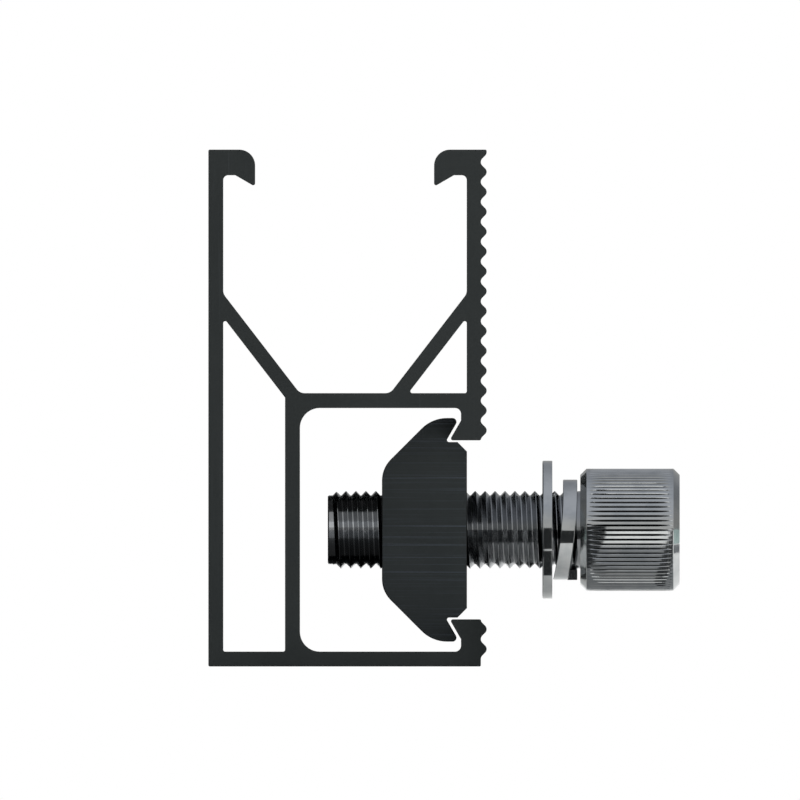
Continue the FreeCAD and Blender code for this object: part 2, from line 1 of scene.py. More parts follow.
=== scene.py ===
import logging
import math
from abc import ABC, abstractmethod
from dataclasses import dataclass, field
from enum import Enum
from typing import Any

import bmesh
import bpy
import numpy as np
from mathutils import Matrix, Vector


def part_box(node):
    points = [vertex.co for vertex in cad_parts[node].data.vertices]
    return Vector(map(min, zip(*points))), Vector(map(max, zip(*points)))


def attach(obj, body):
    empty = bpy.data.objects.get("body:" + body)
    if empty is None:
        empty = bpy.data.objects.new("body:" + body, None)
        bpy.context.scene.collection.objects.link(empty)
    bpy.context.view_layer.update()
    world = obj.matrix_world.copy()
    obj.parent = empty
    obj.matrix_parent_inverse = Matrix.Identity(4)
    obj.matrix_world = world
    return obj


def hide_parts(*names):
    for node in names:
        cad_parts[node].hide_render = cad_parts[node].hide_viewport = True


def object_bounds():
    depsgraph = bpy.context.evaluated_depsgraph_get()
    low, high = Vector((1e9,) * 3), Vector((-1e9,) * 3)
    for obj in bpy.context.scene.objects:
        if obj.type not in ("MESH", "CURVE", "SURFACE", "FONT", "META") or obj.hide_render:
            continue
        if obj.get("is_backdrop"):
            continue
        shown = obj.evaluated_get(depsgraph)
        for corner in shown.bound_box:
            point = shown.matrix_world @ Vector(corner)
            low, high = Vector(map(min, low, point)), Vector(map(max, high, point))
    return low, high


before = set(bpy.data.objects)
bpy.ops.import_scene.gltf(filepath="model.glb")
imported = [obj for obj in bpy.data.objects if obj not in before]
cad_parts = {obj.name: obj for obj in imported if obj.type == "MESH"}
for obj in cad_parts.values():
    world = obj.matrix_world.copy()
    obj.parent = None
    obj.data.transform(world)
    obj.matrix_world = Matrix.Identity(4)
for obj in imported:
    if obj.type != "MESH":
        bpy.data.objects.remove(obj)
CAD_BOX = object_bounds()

# A short length of solar mounting rail with its channel nut, cap screw and washers.
#
# Frame: metres, +Z up, +Y along the rail, +X out of the toothed face, where the screw's
# head is. Sizes in the classes are millimetres, and angles are radians.

LOG = logging.getLogger("mounting_rail")
MM = 0.001
TURN = 2 * math.pi

# Points closer than this, in millimetres, are one point.
MERGE = 0.0004
# Faces that meet at less than this are shaded as one round surface.
SHARP_ANGLE = math.radians(28)

# A shader's colour, as red, green, blue and alpha.
Colour = tuple[float, float, float, float]
# A place along the screw's axis, and the radius there.
Row = tuple[float, float]


# ---------------------------------------------------------------- colours and shader nodes


def linear(hex_colour: str) -> Colour:
    """Turns an sRGB colour into the linear one that a shader takes.

    Each channel is divided by 12.92 when it is dark, and else follows a power of 2.4.

    Args:
        hex_colour: The colour as "#RRGGBB".

    Returns:
        Red, green, blue and an alpha of 1.
    """
    pairs = (hex_colour[1:3], hex_colour[3:5], hex_colour[5:7])
    channels = np.array([int(pair, 16) for pair in pairs]) / 255
    curve = np.where(channels <= 0.04045, channels / 12.92, ((channels + 0.055) / 1.055) ** 2.4)
    return (*curve.tolist(), 1.0)


def fill(
    tree: bpy.types.NodeTree, node: bpy.types.Node, inputs: dict[str | int, Any] | tuple
) -> None:
    """Sets or links a node's sockets.

    Args:
        tree: The tree that holds the node.
        node: The node.
        inputs: What goes into each socket, by name or number, or in the sockets' order:
            a value, another node's output, or a node for its first output.
    """
    pairs = inputs.items() if isinstance(inputs, dict) else enumerate(inputs)
    for socket, value in pairs:
        if isinstance(value, bpy.types.Node):
            value = value.outputs[0]
        if isinstance(value, bpy.types.NodeSocket):
            tree.links.new(value, node.inputs[socket])
        else:
            node.inputs[socket].default_value = value


def add_node(
    tree: bpy.types.NodeTree,
    kind: str,
    settings: dict[str, Any] | None = None,
    inputs: dict[str | int, Any] | tuple = (),
) -> bpy.types.Node:
    """Adds one node with its options and sockets.

    Args:
        tree: The tree that takes the node.
        kind: The node's Blender type.
        settings: Options of the node, by name.
        inputs: What goes into its sockets, as for fill.

    Returns:
        The new node.
    """
    node = tree.nodes.new(kind)
    for name, value in (settings or {}).items():
        setattr(node, name, value)
    fill(tree, node, inputs)
    return node


# The Mix node's sockets repeat their names, so they go by number.
FACTOR, VECTOR_A, VECTOR_B, COLOUR_A, COLOUR_B = 0, 4, 5, 6, 7
VECTOR_OUT, COLOUR_OUT = 1, 2

# Options that several nodes share.
COLOURS = {"data_type": "RGBA"}
VECTORS = {"data_type": "VECTOR"}
SMOOTH = {"interpolation_type": "SMOOTHSTEP"}
ABSOLUTE = {"operation": "ABSOLUTE"}

# Most values of a noise lie in this range. A Map Range node takes it after its value.
NOISE_RANGE = (0.3, 0.7)
# From nothing to all, as the last two inputs of a Map Range node.
WHOLE = (0.0, 1.0)


def tinted(
    tree: bpy.types.NodeTree,
    pattern: bpy.types.Node | bpy.types.NodeSocket,
    span: tuple[float, float],
    low: str | bpy.types.NodeSocket,
    high: str | bpy.types.NodeSocket,
) -> bpy.types.NodeSocket:
    """A colour that follows a pattern.

    Args:
        tree: The tree that takes the nodes.
        pattern: The node or socket that gives the pattern.
        span: Values of the pattern between which one colour goes over into the other.
        low: Colour under the span, as "#RRGGBB" or a socket.
        high: Colour over it.

    Returns:
        The colour's socket.
    """
    share = add_node(tree, "ShaderNodeMapRange", SMOOTH, (pattern, *span, *WHOLE))
    low, high = (linear(end) if isinstance(end, str) else end for end in (low, high))
    inputs = {FACTOR: share, COLOUR_A: low, COLOUR_B: high}
    return add_node(tree, "ShaderNodeMix", COLOURS, inputs).outputs[COLOUR_OUT]


# ---------------------------------------------------------------- finishes


@dataclass(frozen=True)
class Finish(ABC):
    """One way that a surface is made, as a material."""

    name: str

    @abstractmethod
    def paint(self, tree: bpy.types.NodeTree, shader: bpy.types.Node) -> None:
        """Sets the shader's sockets and links the patterns that feed it.

        Args:
            tree: The material's node tree.
            shader: The tree's principled shader.
        """

    def material(self) -> bpy.types.Material:
        """Makes the material, or finds it if a piece already has it.

        Returns:
            The material, named for the finish.
        """
        made = bpy.data.materials.get(self.name)
        if made is not None:
            return made
        made = bpy.data.materials.new(self.name)
        made.use_nodes = True
        self.paint(made.node_tree, made.node_tree.nodes["Principled BSDF"])
        return made


class SawLines(Enum):
    """Which way the saw went across an extrusion's cut ends."""

    UPRIGHT = "upright"
    LEVEL = "level"


@dataclass(frozen=True)
class AnodisedExtrusion(Finish):
    """Aluminium 6005, extruded, sawn to length, etched matt and anodised black.

    The dye sits in a clear oxide film, so the metal keeps a soft sheen and is nearly
    black. The die leaves fine lines along the bar, and the saw leaves them across the
    ends. Both are finer than a tenth of a millimetre, and they are drawn that coarse
    so that they show.
    """

    film: str = "#2E3232"
    deep: str = "#2B2F2F"  # where more dye went in
    line: str = "#424648"  # on a line's bare crest
    saw: SawLines = SawLines.UPRIGHT
    line_width: float = 0.16
    line_length: float = 60.0
    saw_length: float = 30.0
    line_range: tuple[float, float] = (0.6, 0.78)  # where in the noise a line shows
    cloud_size: float = 9.0  # patches that took more dye
    cloud_range: tuple[float, float] = (0.35, 0.65)
    end_range: tuple[float, float] = (0.6, 0.8)  # a side's normal along the bar, and an end's
    metallic: float = 0.55
    clear_film: float = 0.5
    roughness: tuple[float, float] = (0.38, 0.5)
    bump_height: float = 0.004

    def paint(self, tree: bpy.types.NodeTree, shader: bpy.types.Node) -> None:
        """Draws die lines along the bar and saw lines on its ends, over the dyed film.

        Both are one noise, drawn out along the bar on its sides and along the saw's way
        on its ends.

        Args:
            tree: The material's node tree.
            shader: The tree's principled shader.
        """
        coords = add_node(tree, "ShaderNodeTexCoord").outputs
        across, along, saw = (
            1 / (size * MM) for size in (self.line_width, self.line_length, self.saw_length)
        )
        end_scale = (across, 0.0, saw) if self.saw is SawLines.UPRIGHT else (saw, 0.0, across)
        side, end = (
            add_node(tree, "ShaderNodeMapping", inputs={"Vector": coords["Object"], "Scale": scale})
            for scale in ((across, along, across), end_scale)
        )
        facing = add_node(tree, "ShaderNodeSeparateXYZ", inputs=(coords["Normal"],))
        along_bar = add_node(tree, "ShaderNodeMath", ABSOLUTE, (facing.outputs["Y"],))
        is_end = add_node(tree, "ShaderNodeMapRange", SMOOTH, (along_bar, *self.end_range, *WHOLE))
        place = add_node(
            tree,
            "ShaderNodeMix",
            VECTORS,
            {FACTOR: is_end, VECTOR_A: side, VECTOR_B: end},
        )
        grain = add_node(
            tree,
            "ShaderNodeTexNoise",
            inputs={
                "Vector": place.outputs[VECTOR_OUT],
                "Scale": 1.0,
                "Detail": 3.0,
                "Roughness": 0.65,
            },
        )
        cloud = add_node(
            tree,
            "ShaderNodeTexNoise",
            inputs={"Vector": coords["Object"], "Scale": 1 / (self.cloud_size * MM), "Detail": 2.0},
        )
        film = tinted(tree, cloud, self.cloud_range, self.deep, self.film)
        lined = tinted(tree, grain, self.line_range, film, self.line)
        rough = add_node(tree, "ShaderNodeMapRange", SMOOTH, (grain, *NOISE_RANGE, *self.roughness))
        bump = add_node(
            tree,
            "ShaderNodeBump",
            inputs={"Height": grain, "Strength": 0.5, "Distance": self.bump_height * MM},
        )
        sockets = {
            "Base Color": lined,
            "Roughness": rough,
            "Normal": bump,
            "Metallic": self.metallic,
            "Specular IOR Level": self.clear_film,
        }
        fill(tree, shader, sockets)


@dataclass(frozen=True)
class PaintedOutlineEdge(Finish):
    """The broken edge of an anodised extrusion.

    The file leaves the metal rough there. Its near-black colour is painted shade, which
    gives the eye a thin black outline round every cut end.
    """

    # Painted shade: the outline's near-black colour, far darker than the extrusion's film.
    film: str = "#141717"
    roughness: tuple[float, float] = (0.54, 0.7)
    grit: float = 0.08  # size of the file's marks
    metallic: float = 0.35

    def paint(self, tree: bpy.types.NodeTree, shader: bpy.types.Node) -> None:
        """Gives the painted dark outline the unevenness of a filed edge.

        Args:
            tree: The material's node tree.
            shader: The tree's principled shader.
        """
        coords = add_node(tree, "ShaderNodeTexCoord")
        grit = add_node(
            tree,
            "ShaderNodeTexNoise",
            inputs={"Vector": coords.outputs["Object"], "Scale": 1 / (self.grit * MM)},
        )
        rough = add_node(tree, "ShaderNodeMapRange", SMOOTH, (grit, *NOISE_RANGE, *self.roughness))
        sockets = {"Base Color": linear(self.film), "Roughness": rough, "Metallic": self.metallic}
        fill(tree, shader, sockets)


@dataclass(frozen=True)
class BrightSteel(Finish):
    """Stainless steel, turned, rolled or stamped bright, then oiled.

    It mirrors what is round it, drawn out by fine tool marks that run round the axis.
    Where a piece has a "hollow" attribute, the hollows are painted dark as shade, and
    the raised places keep the bright colour.
    """

    axis_z: float = 0.0
    metallic: float = 1.0
    bright: str = "#C1C3C3"
    worn: str = "#B3B6B7"  # in faint stains
    painted_groove_shade: str = "#2D3030"  # painted shade in the knurl's grooves
    ring_width: float = 0.09  # a tool mark, coarser than it is so that it shows
    spot_size: float = 1.6  # the stains
    spot_range: tuple[float, float] = (0.4, 0.7)
    roughness: tuple[float, float] = (0.07, 0.13)
    bump_height: float = 0.0003
    has_hollows: bool = False
    hollow_range: tuple[float, float] = (0.12, 0.6)  # where the painted groove shade begins, and where it covers

    def paint(self, tree: bpy.types.NodeTree, shader: bpy.types.Node) -> None:
        """Draws tool marks round the screw's axis, faint stains, and painted shade in the hollows.

        The marks are a noise over the place along the axis and the distance from it.

        Args:
            tree: The material's node tree.
            shader: The tree's principled shader.
        """
        coords = add_node(tree, "ShaderNodeTexCoord").outputs
        centred = add_node(
            tree,
            "ShaderNodeMapping",
            inputs={"Vector": coords["Object"], "Location": (0, 0, -self.axis_z * MM)},
        )
        parts = add_node(tree, "ShaderNodeSeparateXYZ", inputs=(centred,)).outputs
        across = add_node(tree, "ShaderNodeCombineXYZ", inputs={"Y": parts["Y"], "Z": parts["Z"]})
        radius = add_node(tree, "ShaderNodeVectorMath", {"operation": "LENGTH"}, (across,))
        rings = add_node(
            tree,
            "ShaderNodeCombineXYZ",
            inputs={"X": parts["X"], "Y": radius.outputs["Value"]},
        )
        marks = add_node(
            tree,
            "ShaderNodeTexNoise",
            inputs={"Vector": rings, "Scale": 1 / (self.ring_width * MM), "Detail": 3.0},
        )
        spots = add_node(
            tree,
            "ShaderNodeTexNoise",
            inputs={"Vector": coords["Object"], "Scale": 1 / (self.spot_size * MM), "Detail": 4.0},
        )
        colour = tinted(tree, spots, self.spot_range, self.bright, self.worn)
        # Painted shade: the knurl's grooves are coloured dark by how deep they are.
        if self.has_hollows:
            hollow = add_node(tree, "ShaderNodeAttribute", {"attribute_name": "hollow"})
            colour = tinted(tree, hollow.outputs["Fac"], self.hollow_range, colour, self.painted_groove_shade)
        rough = add_node(tree, "ShaderNodeMapRange", SMOOTH, (marks, *NOISE_RANGE, *self.roughness))
        bump = add_node(
            tree,
            "ShaderNodeBump",
            inputs={"Height": marks, "Strength": 0.6, "Distance": self.bump_height * MM},
        )
        sockets = {
            "Base Color": colour,
            "Roughness": rough,
            "Normal": bump,
            "Metallic": self.metallic,
        }
        fill(tree, shader, sockets)


@dataclass(frozen=True)
class MattPaper(Finish):
    """Uncoated paper or card of the studio, with no shine at all."""

    colour: str
    seen: str | None = None  # by the camera, where that is another colour
    roughness: float = 1.0

    def paint(self, tree: bpy.types.NodeTree, shader: bpy.types.Node) -> None:
        """Leaves out all shine, and gives the camera its own colour where it has one.

        Args:
            tree: The material's node tree.
            shader: The tree's principled shader.
        """
        colour = linear(self.colour)
        if self.seen is not None:
            path = add_node(tree, "ShaderNodeLightPath").outputs
            colour = tinted(tree, path["Is Camera Ray"], WHOLE, self.colour, self.seen)
        sockets = {
            "Base Color": colour,
            "Roughness": self.roughness,
            "Specular IOR Level": 0.0,
        }
        fill(tree, shader, sockets)


# ---------------------------------------------------------------- surfaces


def grid_faces(rows: int, columns: int, seam_row: np.ndarray | None = None) -> np.ndarray:
    """The quads of a grid whose last column joins its first.

    Args:
        rows: Number of rows, along the piece.
        columns: Number of columns, round it.
        seam_row: For each row of the last column, the row of the first column that it
            meets. A helical grid meets itself one turn further on.

    Returns:
        Four vertex numbers for each quad. Vertex numbers run along the columns first.
    """
    index = np.arange(rows * columns).reshape(rows, columns)
    seam = index[:, 0] if seam_row is None else index[seam_row, 0]
    right = np.column_stack([index[:, 1:], seam])
    corners = (index[:-1], right[:-1], right[1:], index[1:])
    return np.stack(corners, axis=-1).reshape(-1, 4)


def closed_mesh(
    name: str,
    points: np.ndarray,
    faces: np.ndarray,
    hollow: np.ndarray | None = None,
    face_finish: np.ndarray | None = None,
) -> bpy.types.Mesh:
    """Makes points and quads into one closed mesh that faces outwards.

    Points that fall together, as at a pole, are merged, and a mesh that encloses a
    negative volume is turned inside out.

    Args:
        name: Name of the mesh.
        points: Places in metres, one row each.
        faces: Vertex numbers of each face.
        hollow: How far each point lies in a hollow, from 0 to 1.
        face_finish: Number of the finish of each face, where the piece has several.

    Returns:
        The mesh, shaded smooth with its sharp edges kept sharp.
    """
    mesh = bpy.data.meshes.new(name)
    mesh.from_pydata(points, [], faces.tolist())
    if hollow is not None:
        mesh.attributes.new("hollow", "FLOAT", "POINT")
        mesh.attributes["hollow"].data.foreach_set("value", hollow.astype(np.float32))
    if face_finish is not None:
        mesh.polygons.foreach_set("material_index", face_finish.astype(np.int32))
    work = bmesh.new()
    work.from_mesh(mesh)
    bmesh.ops.remove_doubles(work, verts=work.verts, dist=MERGE * MM)
    bmesh.ops.dissolve_degenerate(work, edges=work.edges, dist=MERGE * MM)
    if work.calc_volume(signed=True) < 0:
        bmesh.ops.reverse_faces(work, faces=work.faces)
    work.to_mesh(mesh)
    work.free()
    shade(mesh)
    return mesh


def shade(mesh: bpy.types.Mesh) -> None:
    """Shades the mesh smooth, with each flat keeping its own normal beside small rounds.

    A corner's normal is a sum over the faces round its vertex that lie within
    SHARP_ANGLE of its own face: each face's normal times the face's area. Edges
    sharper than that stay sharp.

    Args:
        mesh: The mesh, whose corners' normals are set.
    """
    mesh.shade_smooth()
    face_count, corner_count = len(mesh.polygons), len(mesh.loops)
    vertex = np.empty(corner_count, dtype=np.int32)
    sides = np.empty(face_count, dtype=np.int32)
    area, normal = np.empty(face_count), np.empty(face_count * 3)
    mesh.loops.foreach_get("vertex_index", vertex)
    mesh.polygons.foreach_get("loop_total", sides)
    mesh.polygons.foreach_get("area", area)
    mesh.polygons.foreach_get("normal", normal)
    normal = normal.reshape(-1, 3)
    face = np.repeat(np.arange(face_count), sides)

    # Each corner's rank among the corners of its vertex, so that it can meet them in turn.
    order = np.argsort(vertex, kind="stable")
    count = np.bincount(vertex)
    start = np.cumsum(count) - count
    rank = np.empty(corner_count, dtype=np.int64)
    rank[order] = np.arange(corner_count) - start[vertex[order]]
    total = np.zeros((corner_count, 3))
    for step in range(count.max()):
        mine = np.flatnonzero(count[vertex] > step)
        at = vertex[mine]
        other = face[order[start[at] + (rank[mine] + step) % count[at]]]
        own = normal[face[mine]]
        near = (own * normal[other]).sum(axis=1) > math.cos(SHARP_ANGLE)
        total[mine] += normal[other] * (area[other] * near)[:, None]
    length = np.linalg.norm(total, axis=1, keepdims=True)
    mesh.normals_split_custom_set((total / np.maximum(length, 1e-30)).tolist())


def around(axis_z: float, x: np.ndarray, radius: np.ndarray, angle: np.ndarray) -> np.ndarray:
    """Points about the screw's axis: x along it, then y = r cos a and z = r sin a above it.

    Args:
        axis_z: Height of the axis.
        x: Place along the axis, in millimetres as the rest.
        radius: Distance from the axis.
        angle: Angle round it, from +Y towards +Z.

    Returns:
        One row of metres for each point.
    """
    x, radius, angle = np.broadcast_arrays(x, radius, angle)
    y = radius * np.cos(angle)
    z = axis_z + radius * np.sin(angle)
    return np.stack([x, y, z], axis=-1).reshape(-1, 3) * MM


def turned(rows: list[Row], columns: int) -> tuple[np.ndarray, np.ndarray]:
    """Rows that are the same all round, as a lathe turns them.

    Args:
        rows: Place along the axis and radius of each row.
        columns: Number of points round the axis.

    Returns:
        Places along the axis, and radii, each as rows by columns.
    """
    table = np.array(rows)[:, :, None] * np.ones(columns)
    return table[:, 0], table[:, 1]


def rounded_rectangle(
    low: tuple[float, float], high: tuple[float, float], radii: tuple[float, ...], steps: int
) -> tuple[np.ndarray, np.ndarray]:
    """A closed section with four rounded corners, anticlockwise from the lower right.

    Corner k turns through a right angle from -90 + 90k degrees about a centre that
    stands one radius inside both sides.

    Args:
        low: Smallest of the two measures.
        high: Largest of the two measures.
        radii: Radius of each corner: lower right, upper right, upper left, lower left.
        steps: Points on each corner.

    Returns:
        The two measures of each point.
    """
    radius = np.array(radii)[:, None]
    right, upper = np.array([1, 1, 0, 0])[:, None], np.array([0, 1, 1, 0])[:, None]
    centre_a = np.where(right, high[0] - radius, low[0] + radius)
    centre_b = np.where(upper, high[1] - radius, low[1] + radius)
    turn = TURN / 4 * (np.arange(4)[:, None] - 1 + np.linspace(0, 1, steps))
    return ((centre_a + radius * np.cos(turn)).ravel(), (centre_b + radius * np.sin(turn)).ravel())


def place_piece(
    mesh: bpy.types.Mesh, finishes: tuple[Finish, ...], body: str, node: str
) -> bpy.types.Object:
    """Dresses a mesh and puts it in the scene.

    Args:
        mesh: The mesh, whose name the piece takes.
        finishes: Its finishes, in the order of their numbers on its faces.
        body: The body that it rides on.
        node: The part's node that it stands for.

    Returns:
        The piece, at the origin.
    """
    for finish in finishes:
        mesh.materials.append(finish.material())
    piece = bpy.data.objects.new(mesh.name, mesh)
    bpy.context.scene.collection.objects.link(piece)
    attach(piece, body)
    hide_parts(node)
    return piece


# ---------------------------------------------------------------- extrusions


@dataclass
class Extrusion:
    """A sawn length of anodised extrusion: the rail or the nut."""

    node: str  # gives the section
    body: str
    slot: str
    piece_name: str
    finish: Finish
    edge_finish: Finish
    edge_break: float = 0.07  # what the file takes off each side of an edge
    flatness: float = math.radians(0.2)  # faces that meet at less are one flat
    sharp: float = math.radians(50)  # edges that turn through more are broken

    def section_mesh(self) -> bpy.types.Mesh:
        """The node's shape with its triangles merged, its flats whole and its edges broken.

        Returns:
            A new mesh. The node's own mesh stays as it is. The bevels along its sharp
            edges have the second finish.
        """
        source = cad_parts[self.node].data
        points = np.empty(len(source.vertices) * 3)
        source.vertices.foreach_get("co", points)
        corners = np.empty(len(source.loops), dtype=np.int32)
        source.loops.foreach_get("vertex_index", corners)
        mesh = bpy.data.meshes.new(self.piece_name)
        mesh.from_pydata(points.reshape(-1, 3), [], corners.reshape(-1, 3).tolist())
        work = bmesh.new()
        work.from_mesh(mesh)
        bmesh.ops.remove_doubles(work, verts=work.verts, dist=MERGE * MM)
        bmesh.ops.dissolve_limit(
            work, angle_limit=self.flatness, verts=work.verts, edges=work.edges
        )
        bmesh.ops.bevel(
            work,
            geom=[edge for edge in work.edges if edge.calc_face_angle(0) > self.sharp],
            offset=self.edge_break * MM,
            offset_type="OFFSET",
            segments=2,
            profile=0.5,
            affect="EDGES",
            material=1,
            clamp_overlap=True,
        )
        work.to_mesh(mesh)
        work.free()
        shade(mesh)
        return mesh

    def build(self) -> bpy.types.Object:
        """Dresses the section: one finish on its faces, and the painted dark outline on its broken
        edges.

        Returns:
            The piece, on its body.
        """
        finishes = (self.finish, self.edge_finish)
        return place_piece(self.section_mesh(), finishes, self.body, self.node)


# ---------------------------------------------------------------- cap screw


@dataclass
class Knurl:
    """Straight grooves rolled round the head, that run out at both ends."""

    count: int = 80
    mouth: float = 0.24  # width of a groove at the surface
    depth: float = 0.15
    run_out: float = 1.83
    narrowest: float = 0.3  # share of the mouth that a groove starts with
    crown: float = 0.002  # how far its rolled edges lie under the land
    rows: int = 7  # of the grid, on each run-out

    def columns(self, radius: float, share: np.ndarray) -> tuple[np.ndarray, np.ndarray]:
        """Angles and depths of the grid round the head, four columns to a groove.

        The columns are a groove's first edge, its bottom, its second edge and the
        middle of the land. The edges stand half a mouth from the bottom, times the
        share that the groove has grown to, and the bottom goes down with that share.
        Angle 0 is at the first groove's first edge, where it has not grown yet.

        Args:
            radius: Radius of the head.
            share: How far the groove has grown at each row, from 0 to 1.

        Returns:
            Angles, and depths under the radius, each with a row for every share.
        """
        pitch = TURN / self.count
        half = self.mouth / 2 / radius
        deep = share[:, None]
        grown = self.narrowest + (1 - self.narrowest) * deep
        middle = np.arange(self.count) * pitch + half * self.narrowest
        still = np.zeros_like(grown)
        offsets = np.stack([-half * grown, still, half * grown, still + pitch / 2], axis=-1)
        angles = (middle[None, :, None] + offsets).reshape(len(share), -1)
        drops = np.stack(
            [self.crown * deep, self.depth * deep, self.crown * deep, still], axis=-1
        )
        drops = np.broadcast_to(drops, (len(share), self.count, 4))
        return angles, drops.reshape(len(share), -1)

    def grooves(
        self, first: float, last: float, radius: float
    ) -> tuple[np.ndarray, np.ndarray, np.ndarray]:
        """The rows of the grooves, from the place where they start to where they end.

        On a run-out, a groove has grown by 1 less the square of what is left of it.

        Args:
            first: Place along the axis where the grooves start.
            last: Place where they end.
            radius: Radius of the head.

        Returns:
            Place of each row, and its angles and depths.
        """
        run = np.linspace(0, 1, self.rows)
        grown = 1 - (1 - run) ** 2
        x = np.concatenate([first + run * self.run_out, last - run[::-1] * self.run_out])
        angles, drops = self.columns(radius, np.concatenate([grown, grown[::-1]]))
        return x, angles, drops


@dataclass
class Thread:
    """A right-hand thread, one start, with sharp crests and short root flats."""

    pitch: float = 1.0
    crest_flat: float = 0.06
    root_flat: float = 0.12
    depth: float = 0.43
    first_crest: float = 0.18  # at angle 0, from under the head
    run_out: float = 0.8  # where the root fills up towards the head
    plain: float = 0.2  # between the run-out and the head

    def corners(self) -> tuple[np.ndarray, np.ndarray]:
        """Where one pitch of the thread bends, from a crest's middle to the next one's.

        Returns:
            Places as shares of the pitch, and the heights there.
        """
        half_crest, half_root = self.crest_flat / 2, self.root_flat / 2
        middle = (half_crest + self.pitch / 2 - half_root) / 2
        rise = np.array([half_crest, middle, self.pitch / 2 - half_root])
        places = np.concatenate([rise, self.pitch - rise[::-1]]) / self.pitch
        heights = np.array([1.0, 0.5, 0.0, 0.0, 0.5, 1.0]) * self.depth
        return places, heights

    def height(self, x: np.ndarray, angle: np.ndarray) -> np.ndarray:
        """Height over the root. It depends only on x less the pitch times the turns.

        Args:
            x: Place along the axis, from under the head.
            angle: Angle round it.

        Returns:
            The height at each place.
        """
        places, heights = self.corners()
        turns = (x - self.first_crest) / self.pitch - angle / TURN
        return np.interp(turns % 1.0, places, heights, period=1.0)


